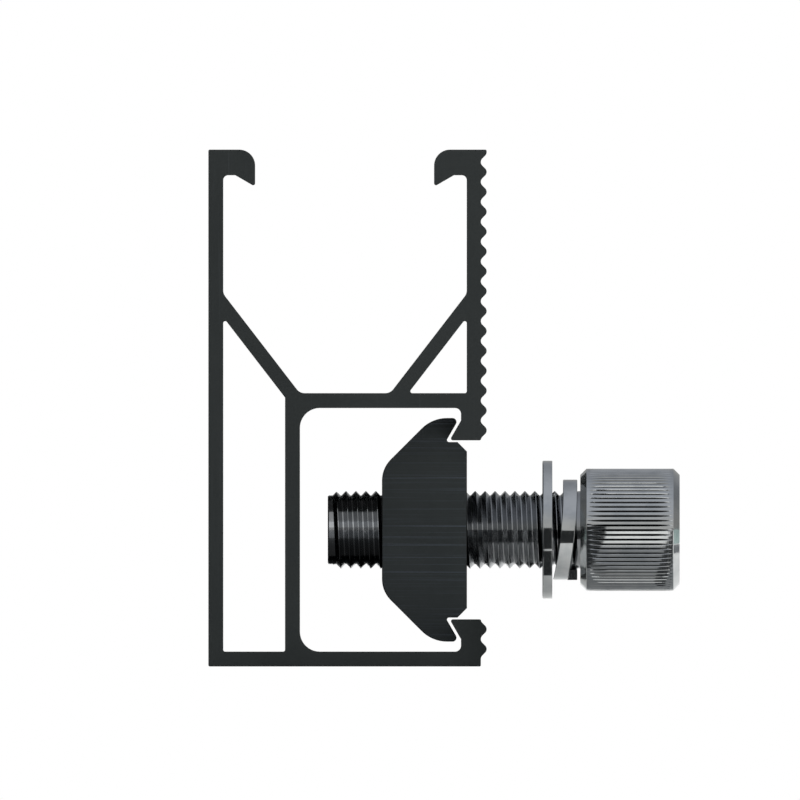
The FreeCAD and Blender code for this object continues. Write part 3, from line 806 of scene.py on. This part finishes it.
@dataclass
class CapScrew:
    """The knurled cap screw: threaded shank, head and hexagon socket, in one surface.

    Places along the axis count from under the head, and the tip is at -length.
    """

    finish: Finish
    thread_finish: Finish
    axis_z: float
    head_x: float
    length: float = 25.4
    lead: float = 0.5  # the plain point
    thread_radius: float = 3.9  # over the crests
    tip_break: float = 0.12
    head_radius: float = 6.15  # over the knurl
    head_height: float = 10.0
    head_chamfer: float = 0.62
    edge_round: float = 0.05  # of the chamfers' edges
    socket_flats: float = 6.0  # from wall to wall
    socket_depth: float = 5.0
    socket_mouth: float = 3.6  # radius of its bevel
    socket_corner: float = 0.12  # cut off each corner
    drill_gap: float = 0.04  # between the drilled floor and the walls
    drill_slope: float = math.radians(30)  # of the drill's cone
    thread: Thread = field(default_factory=Thread)
    knurl: Knurl = field(default_factory=Knurl)

    def tip(self) -> list[Row]:
        """The tip's rows, from its middle over the broken edge to the plain point."""
        tip, root = -self.length, self.thread_radius - self.thread.depth
        flat = [(tip, 0.0), (tip, root / 2), (tip, root - self.tip_break)]
        return [*flat, (tip + self.tip_break, root)]

    def shank(self, angle: np.ndarray) -> tuple[np.ndarray, np.ndarray]:
        """The shank's rows: a sheared grid, so that its rows follow the thread's crest.

        Row k stands at u_k plus the pitch times the turns, held between the tip and
        the head. The radius is the thread's, under a 45 degree cone at the tip. Where
        the thread runs out, the root fills up by 3 squares less 2 cubes of the share
        of the run-out that is behind it.

        Args:
            angle: The columns' angles.

        Returns:
            Places along the axis, and radii.
        """
        thread = self.thread
        root = self.thread_radius - thread.depth
        start = -self.length + self.lead
        turns = np.arange(math.floor(start / thread.pitch) - 2, 2)
        rows = (turns[:, None] + thread.corners()[0]).ravel() * thread.pitch
        x = (rows + thread.first_crest)[:, None] + thread.pitch * angle / TURN
        x = np.clip(x, start, 0.0)
        radius = root + thread.height(x, angle)
        cone = root + x - start
        filled = np.clip((x + thread.plain) / thread.run_out + 1, 0, 1)
        full = root + thread.depth * filled**2 * (3 - 2 * filled)
        return x, np.minimum(np.maximum(radius, full), cone)

    def arc(self, x: float, radius: float, start: float, stop: float) -> list[Row]:
        """Three points on the round of a chamfer's edge.

        Args:
            x: Place of the round's centre along the axis.
            radius: The centre's distance from the axis.
            start: First angle about the centre, in degrees.
            stop: Last angle.

        Returns:
            Place along the axis and radius of each point.
        """
        turn = np.radians(np.linspace(start, stop, 3))
        return [
            (x + self.edge_round * math.cos(a), radius + self.edge_round * math.sin(a))
            for a in turn
        ]

    def rim(self) -> list[Row]:
        """The head's rim, from its flat underside over the chamfer to its side.

        A chamfer turns the surface by 45 degrees twice. So the centre of each round
        stands off the chamfer's corner by its radius times the tangent of half that.

        Returns:
            Place along the axis and radius of each row.
        """
        head, cut, edge = self.head_radius, self.head_chamfer, self.edge_round
        soft = edge * math.tan(TURN / 16)
        return [
            (0.0, head - cut - 2 * edge),
            *self.arc(edge, head - cut - soft, 180, 135),
            *self.arc(cut + soft, head - edge, 135, 90),
        ]

    def hexagon(self, angle: np.ndarray) -> np.ndarray:
        """The socket's radius: half the flats over the cosine from the nearest flat.

        The first corner is at angle 0, which lies level. The corners are softened: the
        radius there is held to a circle that cuts each one off by socket_corner.

        Args:
            angle: The columns' angles.

        Returns:
            The radius at each angle.
        """
        sixth = TURN / 6
        off_flat = angle % sixth - sixth / 2
        sharp = self.socket_flats / 2 / np.cos(off_flat)
        longest = self.socket_flats / math.sqrt(3) - self.socket_corner
        return np.minimum(sharp, longest)

    def socket(self, angle: np.ndarray) -> tuple[np.ndarray, np.ndarray]:
        """The socket's rows: a 45 degree bevel, six walls, a flat floor, a drilled cone.

        Args:
            angle: The columns' angles.

        Returns:
            Places along the axis, and radii.
        """
        wall = self.hexagon(angle)
        mouth_x = self.head_height - (self.socket_mouth - wall)
        floor_x = self.head_height - self.socket_depth
        drill = self.socket_flats / 2 - self.drill_gap
        point_x = floor_x - drill * math.tan(self.drill_slope)
        end_x, end_r = turned([(floor_x, drill), (point_x, 0.0)], len(angle))
        x = np.vstack([mouth_x, np.full(len(angle), floor_x), end_x])
        return x, np.vstack([wall, wall, end_r])

    def build(self) -> bpy.types.Object:
        """Joins tip, thread, head and socket into one grid and dresses it.

        The grid's last column joins its first one row by row, except on the shank,
        where it joins one pitch further on.

        Returns:
            The piece, on the screw's body.
        """
        base_angle = self.knurl.columns(self.head_radius, np.zeros(1))[0][0]
        count = len(base_angle)
        rim = self.rim()
        face = [(self.head_height - x, radius) for x, radius in reversed(rim)]
        side = self.head_chamfer + 2 * self.edge_round
        knurl_x, knurl_angle, drops = self.knurl.grooves(
            side, self.head_height - side, self.head_radius
        )
        blocks = (
            turned(self.tip(), count),
            self.shank(base_angle),
            turned([(0.0, self.thread_radius), *rim], count),
            (knurl_x[:, None] * np.ones(count), self.head_radius - drops),
            turned([*face, (self.head_height, self.socket_mouth)], count),
            self.socket(base_angle),
        )
        x, radius = (np.vstack(measure) for measure in zip(*blocks))
        ends = np.cumsum([len(places) for places, _ in blocks])
        shank_rows, knurl_rows = slice(ends[0], ends[1]), slice(ends[2], ends[3])
        angle = np.broadcast_to(base_angle, x.shape).copy()
        angle[knurl_rows] = knurl_angle
        # How deep each point lies in the knurl's grooves; the turned steel paints shade there by
        # it.
        hollow = np.zeros(x.shape)
        hollow[knurl_rows] = drops / self.knurl.depth

        seam = np.arange(len(x))
        last_row = ends[1] - 1
        per_pitch = len(self.thread.corners()[0])
        seam[shank_rows] = np.minimum(seam[shank_rows] + per_pitch, last_row)

        points = around(self.axis_z, self.head_x + x, radius, angle)
        faces = grid_faces(len(x), count, seam)
        row_finish = (np.arange(len(x) - 1) < last_row).astype(int)
        mesh = closed_mesh(
            "knurled_cap_screw", points, faces, hollow.ravel(), np.repeat(row_finish, count)
        )
        finishes = (self.finish, self.thread_finish)
        return place_piece(mesh, finishes, "screw", "cap_screw")


# ---------------------------------------------------------------- washers


@dataclass
class FlatWasher:
    """The stamped flat washer: rolled over at the punch side, crisper at the die side."""

    finish: Finish
    axis_z: float
    front_x: float  # its face towards the head
    thickness: float = 1.0
    outer: float = 6.95
    inner: float = 4.2
    roll_over: float = 0.12  # the edge that the punch pulled over
    burr_side: float = 0.05  # its three other edges
    corner_steps: int = 5
    columns: int = 192

    def build(self) -> bpy.types.Object:
        """Turns the rounded section about the axis and dresses it.

        Returns:
            The piece, on the washers' body.
        """
        x, radius = rounded_rectangle(
            (self.front_x - self.thickness, self.inner),
            (self.front_x, self.outer),
            (self.burr_side, self.burr_side, self.roll_over, self.burr_side),
            self.corner_steps,
        )
        x, radius = np.append(x, x[0]), np.append(radius, radius[0])
        angle = np.arange(self.columns) * TURN / self.columns
        points = around(self.axis_z, x[:, None], radius[:, None], angle)
        faces = grid_faces(len(x), self.columns)
        mesh = closed_mesh("stamped_washer", points, faces)
        return place_piece(mesh, (self.finish,), "washers", "flat_washer")


@dataclass
class SpringWasher:
    """The split spring washer: flat on its far half, sprung forward on its near half."""

    finish: Finish
    axis_z: float
    back_x: float  # its face towards the head
    thickness: float = 1.44
    outer: float = 5.05
    inner: float = 4.05
    rise: float = 1.0  # how far the free end is sprung forward
    split: float = 0.4
    corner: float = 0.09
    corner_steps: int = 4
    steps: int = 180  # rows round the ring

    def spring(self, y: np.ndarray, z: np.ndarray, off_face: np.ndarray) -> np.ndarray:
        """How far a point is sprung forward: r less the root of r squared less d squared.

        d is the distance down from the top of the hole, on the near half only, and r is
        the bend's radius, larger by the point's distance off the front face.

        Args:
            y: The point's place along the rail.
            z: Its height over the axis.
            off_face: Its distance off the front face.

        Returns:
            The distance at each point.
        """
        down = np.where(y < 0, np.maximum(self.inner - z, 0), 0)
        span = self.inner + self.outer
        bend = (span**2 + self.rise**2) / (2 * self.rise) + off_face
        return bend - np.sqrt(bend**2 - down**2)

    def build(self) -> bpy.types.Object:
        """Carries the rounded section round the split ring, caps its ends and dresses it.

        Row k goes from one end of the split to the other. Each end lies in a plane half
        a split from the axis, so its angle is the arcsine of that over the radius.

        Returns:
            The piece, on the washers' body.
        """
        off_face, radius = rounded_rectangle(
            (0, self.inner), (self.thickness, self.outer), (self.corner,) * 4, self.corner_steps
        )
        middle = (self.thickness / 2, (self.inner + self.outer) / 2)
        share = np.concatenate([[0], np.linspace(0, 1, self.steps), [1]])[:, None]
        off_face = np.broadcast_to(off_face, (len(share), len(off_face))).copy()
        radius = np.broadcast_to(radius, off_face.shape).copy()
        off_face[[0, -1]], radius[[0, -1]] = middle
        gap = np.arcsin(self.split / 2 / radius)
        angle = -TURN / 4 + gap + share * (TURN - 2 * gap)
        y, z = radius * np.cos(angle), radius * np.sin(angle)
        x = self.back_x - self.thickness + off_face - self.spring(y, z, off_face)
        points = around(self.axis_z, x, radius, angle)
        faces = grid_faces(*x.shape)
        mesh = closed_mesh("split_spring_washer", points, faces)
        return place_piece(mesh, (self.finish,), "washers", "spring_washer")


# ---------------------------------------------------------------- studio


class Lie(Enum):
    """How a flat sheet lies: its outline's two axes, and the one that it stays put on."""

    LEVEL = (0, 1, 2)
    FACING_FRONT = (0, 2, 1)
    FACING_SIDE = (1, 2, 0)


@dataclass(frozen=True)
class Ribbon:
    """Where a dark reflection shows on a round piece of this radius that lies along X."""

    radius: float
    stops: tuple[tuple[float, float, float], ...]  # height off the axis, left, right
    rows: int = 25

    def points(self, axis_z: float, card_radius: float) -> np.ndarray:
        """The card that gives this reflection, on a cylinder round the same axis.

        The view is level, along Y. A surface at height z leans back by the arcsine of
        z over its radius, so it sends the view off at twice that angle. The card lies
        where that ray meets the card's cylinder, at twice the angle less the arcsine
        of z over the card's radius.

        Args:
            axis_z: Height of the axis.
            card_radius: Radius of the card's cylinder.

        Returns:
            Two corners a row, left and right, in millimetres.
        """
        stops = np.array(self.stops)
        height = np.linspace(stops[0, 0], stops[-1, 0], self.rows)
        order = np.argsort(stops[:, 0])
        sides = [np.interp(height, stops[order, 0], stops[order, side]) for side in (1, 2)]
        turn = 2 * np.arcsin(height / self.radius) - np.arcsin(height / card_radius)
        y, z = -card_radius * np.cos(turn), axis_z + card_radius * np.sin(turn)
        edges = [np.stack([side, y, z], axis=-1) for side in sides]
        return np.stack(edges, axis=1).reshape(-1, 3)


# The dark patches on the steel: height off the axis, left end, right end.
DARK_PATCHES = {
    "flat_washer_flag": (
        Ribbon(6.95, ((0.19, 19.2, 20.95), (-1.95, 19.2, 20.95))),
        Ribbon(6.95, ((-2.1, 19.2, 20.9), (-4.6, 19.2, 20.9))),
    ),
    "spring_washer_flag": (Ribbon(5.05, ((-0.08, 20.95, 23.5), (-1.35, 20.95, 23.5))),),
    "head_flag": (
        Ribbon(6.15, ((0.5, 23.4, 26.0), (-0.6, 23.4, 26.0), (-3.9, 23.4, 24.5))),
        Ribbon(
            6.15,
            ((0.1, 32.5, 33.1), (-1.9, 31.9, 33.0), (-5.3, 30.8, 32.0), (-5.75, 31.3, 31.9)),
        ),
    ),
}

# Soft lights: place and side in metres, power in watts.
SOFTBOXES = {
    "top_softbox": ((0.05, -0.1, 0.9), 0.7, 2.5),
    "front_softbox": ((-0.55, -0.9, 0.55), 0.6, 4.0),
    "right_softbox": ((0.85, 0.4, 0.5), 0.6, 5.0),
    "left_softbox": ((-0.8, 0.5, 0.45), 0.6, 4.0),
    "low_right_softbox": ((1.0, 0.2, 0.12), 0.5, 3.0),
    "low_left_softbox": ((-1.0, 0.2, 0.12), 0.5, 2.5),
}

# Small panels round the screw's tip: y and z off the axis of two opposite edges, and a
# glow, where 1 is a white wall.
TIP_PANELS = {
    "tip_light": ((-7.7, 0.8), (-5.4, 6.63), 0.6),
    "tip_upper_fill": ((-5.4, 6.63), (2.0, 10.0), 0.036),
    "tip_lower_fill": ((-1.5, -8.9), (-7.9, 0.0), 0.036),
}


@dataclass
class Studio:
    """Pale floor, soft light, dark reflection cards and the camera. Not part of the object."""

    centre: Vector
    axis_z: float
    view_centre: tuple[float, float] = (5.28, 26.81)  # x and z
    view_width: float = 80.48
    view_distance: float = 400.0
    floor_reach: float = 400.0
    floor_place: float = -0.01
    floor_colour: str = "#F3F3F1"  # in the metal and in the light off it
    floor_seen: str = "#FFFFFF"  # by the camera
    flag_colour: str = "#7C7E80"  # the grey cards
    dark_colour: str = "#424445"  # the dark cards
    side_colour: str = "#B8CAC6"  # the pale green card
    low_colour: str = "#939596"  # the card under the head
    card_radius: float = 13.6  # of the curved cards' cylinder
    panel_x: tuple[float, float] = (-2.2, 3.4)  # both ends of the panels at the tip
    front_light: float = 0.62  # the room in front, as the metal mirrors it
    back_light: float = 0.37
    side_light: float = 0.55  # the share of it that is left at both sides
    room_light: float = 0.62  # the room on matt surfaces
    depth_range: tuple[float, float] = (-0.4, 0.95)  # on the way's y, from front to back
    side_range: tuple[float, float] = (0.35, 0.95)  # on its x, from middle to side
    tint_range: tuple[float, float] = (0.1, 0.7)  # on its z, from low to high
    low_tint: str = "#FFFFFD"  # the mirrored room's light from low down
    high_tint: str = "#F0F5FF"  # from high up
    room_tint: str = "#FBFCFF"  # the light on matt surfaces

    def world(self) -> None:
        """White to the camera, and a soft room for the object.

        The metal mirrors a room that is dimmer behind the object and at its sides, and
        matt surfaces are lit by an even one.
        """
        world = bpy.data.worlds.new("studio_room")
        bpy.context.scene.world = world
        world.use_nodes = True
        tree = world.node_tree
        tree.nodes.clear()
        path = add_node(tree, "ShaderNodeLightPath").outputs
        coords = add_node(tree, "ShaderNodeTexCoord")
        way = add_node(tree, "ShaderNodeSeparateXYZ", inputs=(coords.outputs["Generated"],)).outputs
        depth = add_node(
            tree,
            "ShaderNodeMapRange",
            SMOOTH,
            (way["Y"], *self.depth_range, self.front_light, self.back_light),
        )
        aside = add_node(tree, "ShaderNodeMath", ABSOLUTE, (way["X"],))
        width = add_node(
            tree,
            "ShaderNodeMapRange",
            SMOOTH,
            (aside, *self.side_range, 1.0, self.side_light),
        )
        shine = add_node(tree, "ShaderNodeMath", {"operation": "MULTIPLY"}, (depth, width))
        tint = tinted(tree, way["Z"], self.tint_range, self.low_tint, self.high_tint)
        mirrored, room, white = (
            add_node(tree, "ShaderNodeBackground", inputs=(colour, strength))
            for colour, strength in (
                (tint, shine),
                (linear(self.room_tint), self.room_light),
                (linear(self.floor_seen), 1.0),
            )
        )
        lit = add_node(tree, "ShaderNodeMixShader", inputs=(path["Is Glossy Ray"], room, mirrored))
        seen = add_node(
            tree,
            "ShaderNodeMath",
            {"operation": "MAXIMUM"},
            (path["Is Camera Ray"], path["Is Transmission Ray"]),
        )
        whole = add_node(tree, "ShaderNodeMixShader", inputs=(seen, lit, white))
        add_node(tree, "ShaderNodeOutputWorld", inputs=(whole,))

    @staticmethod
    def rectangle(
        low: tuple[float, float],
        high: tuple[float, float],
        place: float,
        lie: Lie = Lie.LEVEL,
    ) -> tuple[np.ndarray, np.ndarray]:
        """Corners and face of one rectangle.

        Args:
            low: One corner, in millimetres.
            high: The opposite corner.
            place: Where it lies on the axis that it stays put on.
            lie: Which way it lies.

        Returns:
            The four corners, and their one face.
        """
        corners = np.full((4, 3), float(place))
        corners[:, lie.value[0]] = (low[0], high[0], high[0], low[0])
        corners[:, lie.value[1]] = (low[1], low[1], high[1], high[1])
        return corners, np.array([[0, 1, 2, 3]])

    def sheet(
        self, name: str, corners: np.ndarray, faces: np.ndarray, finish: Finish
    ) -> bpy.types.Object:
        """A sheet of four-sided faces that belongs to the studio.

        Args:
            name: Its name.
            corners: Its corners, in millimetres.
            faces: Numbers of each face's corners.
            finish: Its finish.

        Returns:
            The sheet.
        """
        mesh = bpy.data.meshes.new(name)
        mesh.from_pydata((corners * MM).tolist(), [], faces.tolist())
        mesh.materials.append(finish.material())
        sheet = bpy.data.objects.new(name, mesh)
        bpy.context.scene.collection.objects.link(sheet)
        sheet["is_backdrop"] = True
        return sheet

    def floor(self) -> None:
        """A plain pale floor that keeps the object's shadow."""
        paper = MattPaper("floor_paper", self.floor_colour, self.floor_seen, roughness=0.9)
        reach = self.floor_reach
        square = self.rectangle((-reach, -reach), (reach, reach), self.floor_place)
        self.sheet("floor", *square, paper)

    def card(self, name: str, colour: str, corners: np.ndarray, faces: np.ndarray) -> None:
        """A matt card that only shows in bright metal.

        Args:
            name: Its name.
            colour: Its colour.
            corners: Its corners, in millimetres.
            faces: Numbers of each face's corners.
        """
        card = self.sheet(name, corners, faces, MattPaper(f"{name}_paper", colour))
        card.visible_camera = False
        card.visible_diffuse = False
        card.visible_shadow = False
        card.visible_transmission = False

    def cards(self) -> None:
        """Cards that darken parts of the steel, as in a product studio.

        Dark curved ones stand round the screw's axis in front of the washers and the
        head, and two dark flat ones in front of the shank and below it. Grey ones lie
        on the floor and stand before the spring washer's end. A pale green one stands
        off to the right.
        """
        for name, ribbons in DARK_PATCHES.items():
            for number, ribbon in enumerate(ribbons):
                corners = ribbon.points(self.axis_z, self.card_radius)
                row = 2 * np.arange(ribbon.rows - 1)[:, None]
                faces = row + np.array([0, 1, 3, 2])
                self.card(f"{name}_{number}", self.dark_colour, corners, faces)
        level, front, side = Lie.LEVEL, Lie.FACING_FRONT, Lie.FACING_SIDE
        flats = {
            "shank_flag": (self.dark_colour, (12.0, 0.05), (19.2, self.axis_z), -33, front),
            "shank_low_flag": (self.dark_colour, (14.5, -33), (19.2, -17), 0.08, level),
            "floor_flag": (self.flag_colour, (-500, -900), (18.2, -16), 0.05, level),
            "chamfer_flag": (self.flag_colour, (61, -8), (80, 6), 0.05, level),
            "spring_end_flag": (self.flag_colour, (21.9, 8.5), (23.4, 10), -20, front),
            "under_card": (self.low_colour, (23.5, -26), (33.3, 16), 0.05, level),
            "side_card": (self.side_colour, (-12, 0.5), (8, 14.5), 84, side),
        }
        for name, (colour, *place) in flats.items():
            self.card(name, colour, *self.rectangle(*place))

    def lamp(
        self,
        name: str,
        place: Vector,
        facing: Vector,
        size: tuple[float, float],
        power: float,
    ) -> bpy.types.Object:
        """A flat light that the camera doesn't see.

        Args:
            name: Its name.
            place: Its middle, in metres.
            facing: The way that it faces.
            size: Its two sides, in metres.
            power: Its light, in watts.

        Returns:
            The light's object.
        """
        light = bpy.data.lights.new(name, "AREA")
        light.shape = "RECTANGLE"
        light.size, light.size_y = size
        light.energy = power
        lamp = bpy.data.objects.new(name, light)
        lamp.visible_camera = False
        bpy.context.scene.collection.objects.link(lamp)
        lamp.location = place
        lamp.rotation_euler = facing.to_track_quat("-Z", "Y").to_euler()
        return lamp

    def lamps(self) -> None:
        """Soft lights all round, which the metal doesn't mirror, and the tip's panels.

        A panel shows in the screw's tip alone. It faces right of the way from its first
        edge to its second, and its power is pi times its glow times its area.
        """
        for name, (start, end, glow) in TIP_PANELS.items():
            corners = np.array([(self.panel_x[0], *start), (self.panel_x[1], *end)])
            middle = corners.mean(axis=0) + (0, 0, self.axis_z)
            width, step_y, step_z = corners[1] - corners[0]
            size = (width * MM, math.hypot(step_y, step_z) * MM)
            facing = Vector((0, step_z, -step_y))
            power = math.pi * glow * size[0] * size[1]
            panel = self.lamp(name, Vector(middle * MM), facing, size, power)
            panel.visible_diffuse = False
        for name, (place, side, power) in SOFTBOXES.items():
            facing = self.centre - Vector(place)
            softbox = self.lamp(name, Vector(place), facing, (side, side), power)
            softbox.visible_glossy = False

    def camera(self) -> None:
        """A parallel view, level, square on to the rail's cut end."""
        data = bpy.data.cameras.new("camera")
        data.type = "ORTHO"
        data.ortho_scale = self.view_width * MM
        data.clip_end = 20.0
        camera = bpy.data.objects.new("camera", data)
        bpy.context.scene.collection.objects.link(camera)
        x, z = self.view_centre
        camera.location = Vector((x, -self.view_distance, z)) * MM
        camera.rotation_euler = (TURN / 4, 0, 0)
        bpy.context.scene.camera = camera

    def build(self) -> None:
        """Sets the whole studio up."""
        bpy.context.scene.view_settings.view_transform = "Standard"
        self.world()
        self.floor()
        self.cards()
        self.lamps()
        self.camera()


# ---------------------------------------------------------------- the whole scene


def corners_list(box: tuple[Vector, Vector]) -> list[list[float]]:
    """A box's two corners as plain lists.

    Args:
        box: Its lowest and highest corner.

    Returns:
        The same corners, as numbers that a JSON file takes.
    """
    return [list(corner) for corner in box]


def main() -> None:
    """Builds the pieces in order, then the studio, and notes both boxes."""
    logging.basicConfig(level=logging.INFO, format="%(name)s: %(message)s")
    low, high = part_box("cap_screw")
    axis_z = (low.z + high.z) / 2 / MM
    head_x = high.x / MM - CapScrew.head_height
    washer_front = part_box("flat_washer")[1].x / MM
    spring_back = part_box("spring_washer")[1].x / MM

    # Etched matt before it is dyed: nearly black, with a soft sheen and no mirror image,
    # and lines that only show near by.
    rail_film = AnodisedExtrusion("black_anodised_rail")
    # The same process on a small piece that was sawn lying down: a little greyer, with
    # clear level lines across the end.
    nut_film = AnodisedExtrusion(
        "black_anodised_nut",
        saw=SawLines.LEVEL,
        film="#363B3C",
        deep="#323738",
        line="#4D545C",
        line_range=(0.5, 0.72),
    )
    # The broken edges: a real bevel, coloured near-black as a painted dark outline.
    edge = PaintedOutlineEdge("anodised_edge_painted_outline")
    # Turned and knurled: a crisp mirror, cut into bright and black threads by painted shade
    # in the grooves.
    turned_steel = BrightSteel("turned_steel", axis_z=axis_z, has_hollows=True)
    # Rolling presses the thread and leaves it duller: darker, softer reflections.
    rolled_steel = BrightSteel(
        "rolled_thread", axis_z=axis_z, bright="#9D9FA1", worn="#919496", roughness=(0.12, 0.2)
    )
    # Both washers are tumbled bright: a clean mirror with faint stains, and no painted shade in
    # hollows.
    stamped_steel = BrightSteel("stamped_steel", axis_z=axis_z)
    coiled_steel = BrightSteel("coiled_steel", axis_z=axis_z)

    pieces = (
        Extrusion("mounting_rail", "rail", "dark_anodised_rail", "sawn_rail", rail_film, edge),
        Extrusion("channel_nut", "nut", "dark_anodised_nut", "sawn_nut", nut_film, edge),
        CapScrew(turned_steel, rolled_steel, axis_z, head_x),
        FlatWasher(stamped_steel, axis_z, washer_front),
        SpringWasher(coiled_steel, axis_z, spring_back),
    )
    for piece in pieces:
        made = piece.build()
        LOG.info("%s: %d faces", made.name, len(made.data.polygons))

    Studio((CAD_BOX[0] + CAD_BOX[1]) / 2, axis_z).build()
    boxes = {"cad": corners_list(CAD_BOX), "visual": corners_list(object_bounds())}
    rounded = np.round(np.array(list(boxes.values())) / MM, 3)
    LOG.info("boxes in millimetres: %s", rounded.tolist())


if __name__ == "__main__":
    main()
